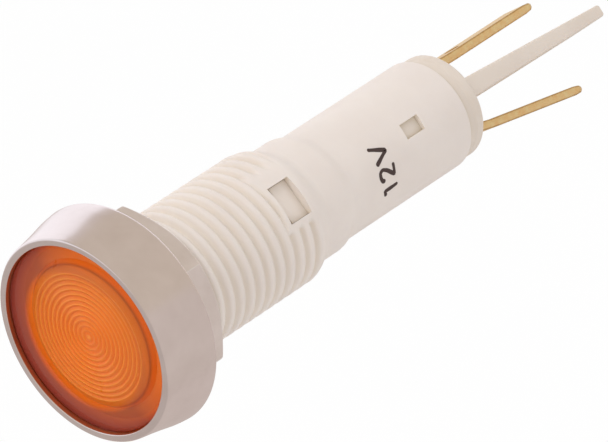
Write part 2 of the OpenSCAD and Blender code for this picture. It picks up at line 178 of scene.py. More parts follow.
@dataclass
class Grid:
    """A grid of points that closes into a solid; the last column joins the first.

    Attributes:
        points: array of rows x columns x 3, mm.
        poles: whether the end rows close to a point each, or else join.
        slots: material slot of each row of faces, or None for slot 0.
        holes: the corners once round each window, on the near and far walls.
    """

    points: Array
    poles: bool = False
    slots: Array = None
    holes: List[Tuple[Array, Array]] = field(default_factory=list)

    def open_hole(self, row: Pair, column: Pair, far_row: Pair, far_column: Pair) -> None:
        """Cuts a window through two walls of the grid and lines it.

        Args:
            row: its first and last row on the near wall.
            column: its first and last column there.
            far_row: the rows of the far wall that meet them.
            far_column: the columns of the far wall that meet them.
        """
        self.holes.append((self._loop(row, column), self._loop(far_row, far_column)))

    @staticmethod
    def _loop(row: Pair, column: Pair) -> Array:
        """The corners once round a window.

        Args:
            row: its first and last row.
            column: its first and last column.

        Returns:
            Rows of (row, column).
        """
        down, across = np.sign(row[1] - row[0]), np.sign(column[1] - column[0])
        rows, cols = np.arange(*row, down), np.arange(*column, across)
        sides = [(rows, np.full(len(rows), column[0])), (np.full(len(cols), row[1]), cols),
                 (rows[::-1] + down, np.full(len(rows), column[1])),
                 (np.full(len(cols), row[0]), cols[::-1] + across)]
        return np.concatenate([np.stack(side, 1) for side in sides])

    def surface(self) -> Surface:
        """The grid's cells as faces, without those inside the windows.

        Returns:
            The closed surface.
        """
        n, m = self.points.shape[:2]
        last = n - 1 if self.poles else n
        r, c = np.meshgrid(np.arange(last), np.arange(m), indexing="ij")
        keep = np.ones(r.shape, bool)
        for loops in self.holes:
            for loop in loops:
                lo, hi = loop.min(0), loop.max(0)
                keep[lo[0]:hi[0], np.arange(lo[1], hi[1]) % m] = False
        below, beside = (r + 1) % n * m, (c + 1) % m
        faces = np.stack([r * m + c, r * m + beside, below + beside, below + c], -1)[keep]
        row_slots = np.zeros(n, int) if self.slots is None else self.slots
        slots = [np.broadcast_to(row_slots[:last, None], r.shape)[keep]]
        parts = [faces]
        for loops in self.holes:
            a, b = (loop[:, 0] * m + loop[:, 1] % m for loop in loops)
            parts.append(np.stack([b, np.roll(b, -1), np.roll(a, -1), a], 1))
            slots.append(np.full(len(a), row_slots[loops[0][0, 0]]))
        flat = self.points.reshape(-1, 3)
        if self.poles:
            flat = np.concatenate([flat, [self.points[0].mean(0), self.points[-1].mean(0)]])
            k, end = np.arange(m), (n - 1) * m
            k2 = (k + 1) % m
            for one, two, pole, row in ((k2, k, n * m, 0), (end + k, end + k2, n * m + 1, -1)):
                parts.append(np.stack([one, two, np.full(m, pole), np.full(m, pole)], 1))
                slots.append(np.full(m, row_slots[row]))
        return Surface(flat, np.concatenate(parts), np.concatenate(slots)).outward()


def around(radius: Array, y: Array, turn: Array) -> Array:
    """Points at a radius from the axis: (r sin t, y, r cos t), t from +Z to +X.

    Args:
        radius: distance from the axis, mm.
        y: place along the axis, mm.
        turn: angle, radians.

    Returns:
        The points of the three arrays, broadcast together.
    """
    radius, y, turn = np.broadcast_arrays(radius, y, turn)
    return np.stack([radius * np.sin(turn), y, radius * np.cos(turn)], -1)


def softened(profile: Sequence[Tuple[float, ...]], radius: float = 0.1,
             steps: int = 4, closed: bool = True) -> Array:
    """Rounds the corners of a profile.

    Each corner becomes the curve (1-s)^2 a + 2 s (1-s) corner + s^2 b, with a
    and b at the radius from it, or a bit under half of the shorter side.

    Args:
        profile: points (a, b), or (a, b, own radius) for a corner of its own.
        radius: distance of the curve's ends from each corner, mm.
        steps: segments of each curve.
        closed: whether the profile's last point joins its first.

    Returns:
        The rounded profile, a point a row.
    """
    pts = np.array([p[:2] for p in profile], float)
    out = []
    s = np.linspace(0, 1, steps + 1)[:, None]
    for k, corner in enumerate(pts):
        before, after = pts[k - 1] - corner, pts[(k + 1) % len(pts)] - corner
        own = profile[k][2] if len(profile[k]) > 2 else radius
        d = min(own, 0.45 * np.hypot(*before), 0.45 * np.hypot(*after))
        if d < 1e-3 or (not closed and k in (0, len(pts) - 1)):
            out.append(corner[None])
            continue
        a = corner + before / np.hypot(*before) * d
        b = corner + after / np.hypot(*after) * d
        out.append((1 - s) ** 2 * a + 2 * s * (1 - s) * corner + s ** 2 * b)
    return np.concatenate(out)


def smoothstep(low: float, high: float, x: Array) -> Array:
    """Rises from 0 at low to 1 at high as 3 s^2 - 2 s^3."""
    s = np.clip((x - low) / (high - low), 0, 1)
    return s * s * (3 - 2 * s)


def nearest(values: Array, wanted: float) -> int:
    """Which of the values lies nearest to the wanted one."""
    return int(np.abs(values - wanted).argmin())


def lathe(profile: Array, columns: int, poles: bool = False,
          slots: Array = None) -> Surface:
    """Turns a profile of (radius, y) about the axis.

    Args:
        profile: a closed outline, or an open one from axis to axis with poles.
        columns: points once round.
        poles: whether the first and last points close to the axis.
        slots: material slot of each row of faces.

    Returns:
        The closed surface.
    """
    turn = np.arange(columns) * CIRCLE / columns
    points = around(profile[:, :1], profile[:, 1:2], turn[None])
    return Grid(points, poles, slots).surface()


# ---------------------------------------------------------------- shader tools


def rgba(colour: Triple) -> Tuple[float, ...]:
    """A colour for a socket, which works in linear values.

    Args:
        colour: three linear fractions, or three whole screen values 0-255; a
            share v of 255 becomes ((v + 0.055) / 1.055) ^ 2.4, straight near 0.

    Returns:
        Red, green, blue and 1.
    """
    if isinstance(colour[0], int):
        colour = [v / 12.92 if v <= 0.04045 else ((v + 0.055) / 1.055) ** 2.4
                  for v in np.array(colour) / 255]
    return (*colour, 1.0)


@dataclass
class Shader:
    """Adds nodes to one node tree and links them."""

    tree: bpy.types.NodeTree

    def add(self, kind: str, inputs: Dict[str, object] = None,
            **settings: object) -> bpy.types.Node:
        """Adds a node.

        Args:
            kind: the node's type name without its ShaderNode part.
            inputs: values or sockets for its inputs, by name or number.
            settings: the node's own properties.

        Returns:
            The node.
        """
        node = self.tree.nodes.new("ShaderNode" + kind)
        for key, value in settings.items():
            setattr(node, key, value)
        return self.fill(node, inputs or {})

    def fill(self, node: bpy.types.Node, inputs: Dict[str, object]) -> bpy.types.Node:
        """Links sockets to a node's inputs, or sets the inputs' values.

        Args:
            node: the node.
            inputs: values or sockets for its inputs, by name or number.

        Returns:
            The node.
        """
        for key, value in inputs.items():
            socket = node.inputs[key]
            if isinstance(value, Socket):
                self.tree.links.new(value, socket)
            else:
                socket.default_value = rgba(value) if socket.type == "RGBA" else value
        return node

    def principled(self, inputs: Dict[str, object]) -> Socket:
        """Fills the tree's Principled BSDF and gives its output."""
        return self.fill(self.tree.nodes["Principled BSDF"], inputs).outputs[0]

    def math(self, operation: str, a: object, b: object) -> Socket:
        """One step of arithmetic on two values."""
        return self.add("Math", {0: a, 1: b}, operation=operation).outputs[0]

    def times(self, first: object, *others: object) -> Socket:
        """The product of several values."""
        for other in others:
            first = self.math("MULTIPLY", first, other)
        return first

    def span(self, value: object, low: float = 0.0, high: float = 1.0, start: float = 0.0,
             end: float = 1.0) -> Socket:
        """The value carried from low..high to start..end, and held beyond them."""
        return self.add("MapRange", {0: value, 1: low, 2: high, 3: start, 4: end}).outputs[0]

    def mix(self, factor: object, a: object, b: object) -> Socket:
        """A colour between a and b."""
        return self.add("Mix", {"Factor": factor, 6: a, 7: b}, data_type="RGBA").outputs[2]

    def steps(self, value: object, *stops: Tuple[float, Triple]) -> Socket:
        """A colour ramp.

        Args:
            value: where to read it, 0 to 1.
            stops: places and colours.

        Returns:
            The colour there.
        """
        node = self.add("ValToRGB", {0: value})
        elements = node.color_ramp.elements
        while len(elements) < len(stops):
            elements.new(1.0)
        for element, (place, colour) in zip(elements, stops):
            element.position, element.color = place, rgba(colour)
        return node.outputs[0]

    def place(self) -> Socket:
        """The point's own place, in object metres."""
        return self.add("TexCoord").outputs["Object"]

    def parts(self) -> Sequence[Socket]:
        """The x, y and z of the place."""
        return self.add("SeparateXYZ", {0: self.place()}).outputs

    def polar(self) -> Tuple[Socket, Socket]:
        """Places round the axis.

        Returns:
            Distance from the axis and place along it, in object metres.
        """
        x, y, z = self.parts()
        flat = self.add("CombineXYZ", {0: x, 2: z}).outputs[0]
        far = self.add("VectorMath", {0: flat}, operation="LENGTH")
        return far.outputs["Value"], y

    def noise(self, scale: object, detail: float, roughness: float = 0.5,
              vector: Socket = None) -> Socket:
        """A noise value at the place, or at another vector."""
        return self.add("TexNoise", {"Vector": vector or self.place(), "Scale": scale,
                                     "Detail": detail, "Roughness": roughness}).outputs[0]

    def bump(self, height: Socket, strength: float, distance: float) -> Socket:
        """A normal that follows a height."""
        return self.add("Bump", {"Strength": strength, "Distance": distance,
                                 "Height": height}).outputs[0]

    def use(self, group: str, **inputs: float) -> Socket:
        """The output of a shared group, with these values of its own."""
        return self.add("Group", inputs, node_tree=SHARED.trees[group]).outputs[0]

    def by_ray(self, plain: Socket, white: Socket, mirrored: Socket, level: float) -> Socket:
        """A shader that differs by the kind of ray.

        Args:
            plain: what lights the object.
            white: what the camera sees instead.
            mirrored: what a mirror shows.
            level: how much of the white the camera sees, 0 to 1.

        Returns:
            The mixed shader.
        """
        path = self.add("LightPath").outputs
        seen = self.math("MAXIMUM", path["Is Camera Ray"], path["Is Transmission Ray"])
        mix = self.add("MixShader", {0: self.times(seen, level), 1: plain, 2: white}).outputs[0]
        return self.add("MixShader", {0: path["Is Glossy Ray"], 1: mix, 2: mirrored}).outputs[0]


class Shared:
    """The node groups that several finishes use, each built once."""

    def __init__(self) -> None:
        """Builds the groups."""
        self.trees: Dict[str, bpy.types.NodeTree] = {}
        self._group("moulded_grain", "Height", self._grain, "Scale", "Coarse")
        self._group("slow_mottle", "Mask", self._mottle, "Scale")
        self._group("edge_wear_and_light", "Mask", self._edges)
        self._group("occlusion_shade", "Mask", self._occlusion_shade, "Reach", "Power")
        self._group("turned_lines", "Height", self._turned)

    def _group(self, name: str, output: str, fill: Callable, *inputs: str) -> None:
        """Builds a group.

        Args:
            name: the group's name.
            output: the name of its one output.
            fill: adds the nodes and gives the socket that goes out.
            inputs: the names of its inputs.
        """
        tree = bpy.data.node_groups.new(name, "ShaderNodeTree")
        for key in inputs:
            tree.interface.new_socket(key, in_out="INPUT", socket_type="NodeSocketFloat")
        tree.interface.new_socket(output, in_out="OUTPUT", socket_type="NodeSocketFloat")
        shader = Shader(tree)
        given = tree.nodes.new("NodeGroupInput").outputs
        shader.fill(tree.nodes.new("NodeGroupOutput"), {0: fill(shader, given)})
        self.trees[name] = tree

    @staticmethod
    def _grain(s: Shader, given: Sequence[Socket]) -> Socket:
        """Fine moulded grain: two sizes of noise added as a height from 0 to 1."""
        wide = s.noise(s.times(given["Scale"], 0.13), 2.0)
        return s.math("ADD", s.noise(given["Scale"], 3.0), s.times(wide, given["Coarse"]))

    @staticmethod
    def _mottle(s: Shader, given: Sequence[Socket]) -> Socket:
        """Slow colour variation: soft noise stretched to fill 0 to 1."""
        return s.span(s.noise(given["Scale"], 4.0, 0.6), 0.3, 0.7)

    @staticmethod
    def _edges(s: Shader, _: Sequence[Socket]) -> Socket:
        """Edges, for wear and for painted light on them: where the normal of a rounded edge
        departs from the face's own.

        Args:
            s: the group's node helper.

        Returns:
            The mask.
        """
        bevel = s.add("Bevel", {"Radius": 0.16 * MM}, samples=4).outputs[0]
        plain = s.add("NewGeometry").outputs["Normal"]
        dot = s.add("VectorMath", {0: bevel, 1: plain}, operation="DOT_PRODUCT")
        turned = s.times(s.math("SUBTRACT", 1.0, dot.outputs["Value"]), 7.0)
        wear_and_light = s.times(turned, s.math("ADD", s.noise(1400.0, 3.0), 0.35))
        return s.math("MINIMUM", wear_and_light, 1.0)

    @staticmethod
    def _occlusion_shade(s: Shader, given: Sequence[Socket]) -> Socket:
        """Deep places, for painted shade: one less the open sky seen within Reach."""
        sky = s.add("AmbientOcclusion", {"Distance": given["Reach"]}, samples=8)
        return s.math("POWER", s.math("SUBTRACT", 1.0, sky.outputs["AO"]), given["Power"])

    @staticmethod
    def _turned(s: Shader, _: Sequence[Socket]) -> Socket:
        """Lathe lines: noise over (distance from the axis, place along it) only."""
        far, y = s.polar()
        return s.noise(5200.0, 4.0, 0.7, s.add("CombineXYZ", {0: far, 1: y}).outputs[0])


SHARED = Shared()


@dataclass(frozen=True)
class Finish:
    """A material, built when a piece takes it.

    Attributes:
        name: material name.
    """

    name: str

    def material(self) -> bpy.types.Material:
        """Builds the material.

        Returns:
            The material.
        """
        made = bpy.data.materials.new(self.name)
        made.use_nodes = True
        self.fill(Shader(made.node_tree))
        return made

    def fill(self, s: Shader) -> None:
        """Adds the nodes; each kind of finish has its own."""
        raise NotImplementedError


@dataclass(frozen=True)
class Moulding(Finish):
    """Moulded plastic: even colour, slow mottle, warmer painted shade in deep places, fine grain.

    Attributes:
        colour: main colour.
        second: the colour that the mottle drifts to.
        hollow_shade: the colour of painted shade in deep places.
        rough: mean roughness.
        soft: how much light passes through the skin.
        grain: height of the grain.
    """

    colour: Screen
    second: Screen
    hollow_shade: Screen
    rough: float = 0.48
    soft: float = 0.12
    grain: float = 0.06

    def fill(self, s: Shader) -> None:
        """Adds the nodes.

        Args:
            s: the material's node helper.
        """
        drift = s.use("slow_mottle", Scale=170.0)
        # Painted shade: deep places darken and warm towards the third colour.
        deep = s.use("occlusion_shade", Reach=0.0009, Power=1.1)
        grain = s.use("moulded_grain", Scale=5200.0, Coarse=0.5)
        s.principled({
            "Base Color": s.mix(deep, s.mix(drift, self.colour, self.second), self.hollow_shade),
            "Roughness": s.span(grain, 0.4, 1.0, self.rough - 0.06, self.rough + 0.08),
            "Normal": s.bump(grain, self.grain, 0.0001), "IOR": 1.5,
            "Specular IOR Level": 0.35, "Subsurface Weight": self.soft,
            "Subsurface Radius": (1.0, 0.85, 0.65), "Subsurface Scale": 0.0006})


@dataclass(frozen=True)
class Metal(Finish):
    """Sheet or turned metal: tint, tarnish, tool lines, edges that show wear and painted light,
    and painted shade in deep places.

    Attributes:
        colour: main colour.
        dull: the colour of tarnish.
        bright: the colour of edges: their wear, with painted highlight where it is light and
            painted shade where it is dark.
        crevice_shade: the colour of painted shade in deep places.
        rough: mean roughness.
        lines: height of the tool lines.
        metallic: how metallic the surface is.
        edge: how metallic the edges are.
        blotch: scale of the tarnish.
        turned: whether the lines run round the axis.
    """

    colour: Screen
    dull: Screen
    bright: Screen
    crevice_shade: Screen = (96, 74, 62)
    rough: float = 0.34
    lines: float = 0.08
    metallic: float = 0.9
    edge: float = 0.9
    blotch: float = 260.0
    turned: bool = True

    def fill(self, s: Shader) -> None:
        """Adds the nodes.

        Args:
            s: the material's node helper.
        """
        drift = s.use("slow_mottle", Scale=self.blotch)
        # Edge colour: wear, with painted highlight on light edges and painted shade on dark ones.
        wear_and_light = s.use("edge_wear_and_light")
        # Painted shade: deep places, such as corners and the roots of parts, darken to a shade
        # colour.
        deep = s.use("occlusion_shade", Reach=0.0005, Power=1.6)
        height = (s.use("turned_lines") if self.turned
                  else s.use("moulded_grain", Scale=3600.0, Coarse=0.8))
        shown = s.mix(wear_and_light, s.mix(drift, self.colour, self.dull), self.bright)
        s.principled({
            "Base Color": s.mix(deep, shown, self.crevice_shade),
            "Roughness": s.span(height, 0.3, 0.7, self.rough - 0.03, self.rough + 0.04),
            "Normal": s.bump(height, self.lines, 0.00008),
            "Metallic": s.span(wear_and_light, start=self.metallic, end=self.edge)})


@dataclass(frozen=True)
class LensBody(Finish):
    """The moulded inside of the lens: amber rings, a bright disc, a dark deep rim, with painted
    light and shade on them.
    """

    def fill(self, s: Shader) -> None:
        """Adds the nodes; the colour follows the distance from the axis.

        Args:
            s: the material's node helper.
        """
        far, y = s.polar()
        # Painted light: the pale stop at the middle is a highlight dot, and the bright orange in
        # the trough is light shining through the amber.
        disc = s.steps(
            s.math("DIVIDE", far, LENS_R * MM), (0.0, (250, 172, 76)),
            (0.025, (230, 114, 14)), (0.3, (235, 121, 12)), (RINGS_R / LENS_R, (223, 119, 16)),
            (0.75, (220, 112, 14)), (0.762, (176, 82, 8)), (0.78, (248, 123, 12)),
            (0.83, (252, 124, 8)), (1.0, (236, 108, 10)))
        turn = s.math("FRACT", s.math("DIVIDE", far, RINGS_R / RINGS * MM), 0.0)
        dark, dim, full = (0.0,) * 3, (0.05,) * 3, (1.0,) * 3
        # Painted highlight lines on the ring crests, and painted shade in the grooves between
        # them.
        line = s.steps(turn, (0.0, dark), (0.34, dim), (0.44, full), (0.56, dim), (1.0, dark))
        groove = s.steps(turn, (0.0, full), (0.24, dark), (0.8, dark), (1.0, full))
        fade = s.span(far, 0.4 * MM, 2.8 * MM, 0.3, 1.0)
        within = s.times(s.math("LESS_THAN", far, RINGS_R * MM), fade)
        disc = s.mix(s.times(groove, within, 0.34), disc, (210, 86, 4))
        disc = s.mix(s.times(line, within, 0.75), disc, (255, 176, 76))
        # Painted shadow and light: the trough's walls go from dark red at the rim's top to bright
        # orange at the trough's floor.
        wall = s.steps(s.span(y, -5.14 * MM, -3.75 * MM), (0.0, (120, 30, 10)),
                       (0.36, (150, 44, 12)), (0.6, (196, 76, 22)), (0.9, (230, 104, 20)),
                       (1.0, (250, 120, 14)))
        base = s.mix(s.span(far, 7.3 * MM, 8.3 * MM), disc, wall)
        drift = s.use("slow_mottle", Scale=220.0)
        # Painted shade: deep places darken to a brown-orange.
        deep = s.times(s.use("occlusion_shade", Reach=0.0006, Power=1.0), 0.3)
        warm = s.mix(s.times(drift, 0.25), base, (232, 104, 14))
        # Painted glow: the body gives off a little light in its own colour.
        s.principled({
            "Base Color": s.mix(deep, warm, (196, 78, 10)), "Emission Color": base,
            "Roughness": s.span(drift, start=0.26, end=0.4), "Emission Strength": 0.09,
            "Subsurface Weight": 0.25, "Subsurface Radius": (1.0, 0.45, 0.1),
            "Subsurface Scale": 0.0008})


@dataclass(frozen=True)
class LensSkin(Finish):
    """The lens's clear face: thin amber, denser on the rim seen slantwise, partly from the
    amber's depth and partly as painted shade.
    """

    def fill(self, s: Shader) -> None:
        """Adds the nodes.

        Args:
            s: the material's node helper.
        """
        tilt = s.add("LayerWeight", {0: 0.5}).outputs["Facing"]
        far, _ = s.polar()
        # Painted shade: seen slantwise near the rim, the skin turns dark purple-brown and hides
        # more of what lies behind it.
        steep = s.times(s.span(far, 6.0 * MM, 6.7 * MM), s.span(tilt, 0.32, 0.41))
        thin = s.mix(s.use("slow_mottle", Scale=300.0), (204, 104, 70), (196, 92, 60))
        edge = s.steps(tilt, (0.56, (122, 64, 62)), (0.66, (150, 46, 14)))
        grain = s.use("moulded_grain", Scale=2600.0, Coarse=0.6)
        s.principled({"Base Color": s.mix(steep, thin, edge), "Specular IOR Level": 0.2,
                      "Roughness": s.span(grain, 0.4, 1.1, 0.14, 0.24),
                      "Alpha": s.span(steep, start=0.08, end=0.6)})


@dataclass(frozen=True)
class Ink(Finish):
    """Marking ink: dark brown, lighter where its grain rises."""

    def fill(self, s: Shader) -> None:
        """Adds the nodes."""
        grain = s.use("moulded_grain", Scale=3000.0, Coarse=1.2)
        s.principled({"Base Color": s.mix(grain, (40, 30, 29), (72, 57, 54)),
                      "Roughness": s.span(grain, start=0.5, end=0.75)})


@dataclass(frozen=True)
class Backdrop(Finish):
    """Pale floor: near white to the camera; mirrors show a white sheet on one side."""

    def fill(self, s: Shader) -> None:
        """Adds the nodes; the camera sees 0.95 even white, and shadows on the rest.

        Args:
            s: the material's node helper.
        """
        plain = s.principled({"Base Color": (0.95,) * 3, "Roughness": 0.9,
                              "Specular IOR Level": 0.0})
        white = s.add("Emission", {"Color": (1.0,) * 3, "Strength": 1.0})
        x, y, _ = s.parts()
        grey, sheet = (0.565, 0.49, 0.455), (1.0, 0.965, 1.0)
        tone = s.steps(s.span(x, -0.32, 0.04), (0.06, grey), (0.16, (0.86, 0.82, 0.85)),
                       (0.5, sheet), (0.8, sheet), (0.828, grey))
        mirrored = s.add("Emission", {"Color": tone,
                                      "Strength": s.span(y, -0.02, 0.0, 0.84, 1.0)})
        s.fill(s.tree.nodes["Material Output"], {"Surface": s.by_ray(
            plain, white.outputs[0], mirrored.outputs[0], 0.95)})


# ---------------------------------------------------------------- sub-assemblies


@dataclass
class Front:
    """The metal bezel and the amber lens in it."""

    bezel_r: float = 10.15
    front_r: float = 9.3
    length: float = 5.3
    lip_r: float = 8.64
    lip: float = 0.5
    cavity_r: float = 8.94
    wall: float = 1.0
    hole_r: float = 6.4
    lens_back: float = -3.6
    flange_front: float = -4.68
    plate: float = 0.25
    flat_r: float = 6.4
    face: float = -5.14
    inner_face: float = -4.52
    lens_rim: float = -4.64
    ring_rise: float = 0.13
    lip_rows: Pair = (2, 8)

    def bezel(self) -> None:
        """The turned bezel, with a rolled lip and a rounded rear rim."""
        back = -self.length
        outline = softened([
            (self.lip_r, back + self.lip, 0.05), (self.lip_r, back, 0.14),
            (self.front_r, back, 0.2), (9.62, -3.3, 1.2), (10.05, -1.27, 0.8),
            (self.bezel_r, -0.28, 0.16), (9.94, 0.0, 0.1), (self.hole_r, 0.0, 0.05),
            (self.hole_r, -self.wall, 0.05), (self.cavity_r, -self.wall, 0.05),
            (self.cavity_r, back + self.lip, 0.05)], steps=5)
        metal = Metal("satin_bezel", (251, 244, 243), (242, 234, 232), (254, 252, 250),
                      rough=0.22, lines=0.012, metallic=1.0, edge=1.0)
        # Painted shade and reflection: the lip's inner wall takes a darker, amber-tinted copy of
        # the bezel metal.
        shade = Metal("lip_wall_painted_shade", (190, 112, 74), (164, 96, 64), (196, 140, 110),
                      rough=0.4, metallic=0.6, edge=0.6)
        slots = np.zeros(len(outline), int)
        slots[slice(*self.lip_rows)] = 1
        lathe(outline, 192, slots=slots).build(
            "bezel_shell", [metal, shade], 42, "bezel_metal", "bezel")

    def relief(self) -> Array:
        """The lens's inner surface.

        Ring prisms: each of the equal steps rises in a short slope to a
        rounded crest and falls back in a long one. Outside them a smooth
        annulus sinks slowly, a steep wall drops into a deep trough, and the
        trough's outer wall rises to the rim.

        Returns:
            Rows of (radius, y), from the axis.
        """
        k = np.arange(RINGS)[:, None]
        along, height = np.array([[0.0, 0.3, 0.42, 0.55], [0.0, -0.75, -1.0, -0.8]])
        radius = (k + along) * (RINGS_R / RINGS)
        height = height * (self.ring_rise * np.minimum(0.45 + 0.12 * k, 1.0))
        top = self.inner_face
        prisms = np.stack([radius.ravel(), top + height.ravel()], 1)
        outer = softened([(RINGS_R, top), (6.5, top + 0.16, 0.2), (6.95, top + 0.78, 0.2),
                          (8.35, top + 0.84, 0.2), (LENS_R, self.lens_rim)],
                         0.12, 4, closed=False)
        return np.concatenate([prisms, outer])

    def lens(self) -> None:
        """The lens: a clear bevelled face over the ringed body, one closed shell."""
        face = softened([(0.0, self.face), (self.flat_r, self.face, 0.5),
                         (LENS_R, self.face + 0.34, 0.04),
                         (LENS_R, self.lens_rim)], steps=5, closed=False)
        outline = np.concatenate([face[:-1], self.relief()[::-1]])
        outline[0, 0] = outline[-1, 0] = AXIS_R
        slots = (np.arange(len(outline)) >= len(face) - 2).astype(int)
        lathe(outline, 176, True, slots).build(
            "lens_shell", [LensSkin("amber_lens_skin"), LensBody("amber_lens_body")], 30,
            "amber_lens")

    def flange(self) -> None:
        """The lens's flange and back plate, under the lip."""
        plate, edge = self.lens_back - self.plate, self.cavity_r - 0.08
        outline = softened([(AXIS_R, plate), (7.0, plate), (7.9, self.lens_back - 0.1),
                            (edge, self.flange_front), (edge, self.lens_back),
                            (AXIS_R, self.lens_back)], 0.05, 3, closed=False)
        lathe(outline, 96, True).build("lens_flange", [LensBody("amber_lens_flange")], 38,
                                       "amber_lens", "lens")

    def build(self) -> None:
        """Builds the pieces in order."""
        self.bezel()
        self.lens()
        self.flange()


@dataclass(frozen=True)
class Window:
    """A square opening through the housing's wall, the same on both sides.

    Attributes:
        front: place of its front edge, mm.
        length: size along the axis, mm.
        width: size across, mm.
        turn: angle of its middle, degrees.
        radius: outside radius at its edges, mm.
    """

    front: float
    length: float
    width: float
    turn: float
    radius: float

    @property
    def ends(self) -> Pair:
        """Places of its front and rear edges, mm."""
        return self.front, self.front + self.length

    @property
    def half(self) -> float:
        """Half its angle: the arc sine of half the width over the radius."""
        return math.asin(self.width / 2 / self.radius)

    def sides(self, side: float) -> Pair:
        """Angles of its two long edges, on the side that starts at an angle."""
        middle = math.radians(self.turn) + side
        return (middle - self.half) % CIRCLE, (middle + self.half) % CIRCLE

    def spans(self, y: Array) -> Array:
        """Which places along the axis lie in it or on its edges."""
        return (y >= self.ends[0] - NEAR) & (y <= self.ends[1] + NEAR)


